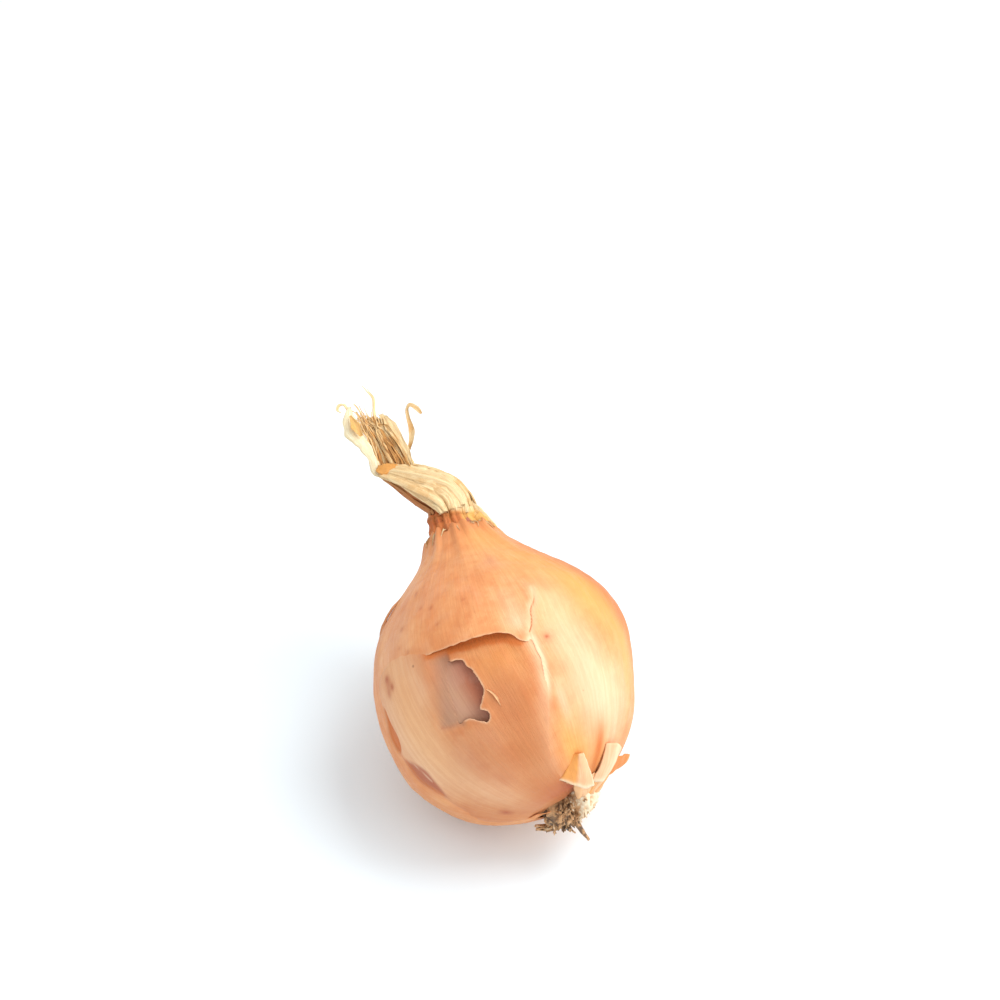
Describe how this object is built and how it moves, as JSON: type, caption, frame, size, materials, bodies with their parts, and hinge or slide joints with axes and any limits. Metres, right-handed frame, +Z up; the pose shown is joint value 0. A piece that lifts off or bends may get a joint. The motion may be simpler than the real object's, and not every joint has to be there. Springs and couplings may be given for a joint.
{
  "type": "shallot",
  "caption": "Whole unpeeled shallot lying on its side, with torn papery skin, a folded dry neck at one end and trimmed roots at the other.",
  "frame": {"origin": "middle of the small flat spot that the bulb rests on", "axes": "+Z up from the resting surface, +Y level from the root end towards the neck, along the longest side of the box, +X to the side that the root end points to"},
  "size_m": [0.0484, 0.0652, 0.0479],
  "materials": {
    "flesh": "satin",
    "inner_skin": "satin",
    "outer_skin": "satin",
    "straw": "matte",
    "brown_fibre": "matte",
    "root": "matte"
  },
  "bodies": {
    "root": {"bulb": "flesh", "inner_skin": "inner_skin", "outer_skin": "outer_skin", "neck_sheath": "straw", "neck_fold": "straw", "pale_leaf": "straw", "brown_core": "brown_fibre", "frayed_leaf": "straw", "curled_strand": "straw", "wisp": "straw", "tip_fibre": "straw", "root_plate": "root", "root_stub_1": "root", "root_stub_2": "root", "root_stub_3": "root", "root_stub_4": "root", "root_stub_5": "root", "root_stub_6": "root", "root_stub_7": "root", "long_root": "root", "wide_tab": "outer_skin", "narrow_tab": "outer_skin", "side_tab": "outer_skin"}
  },
  "joints": []
}
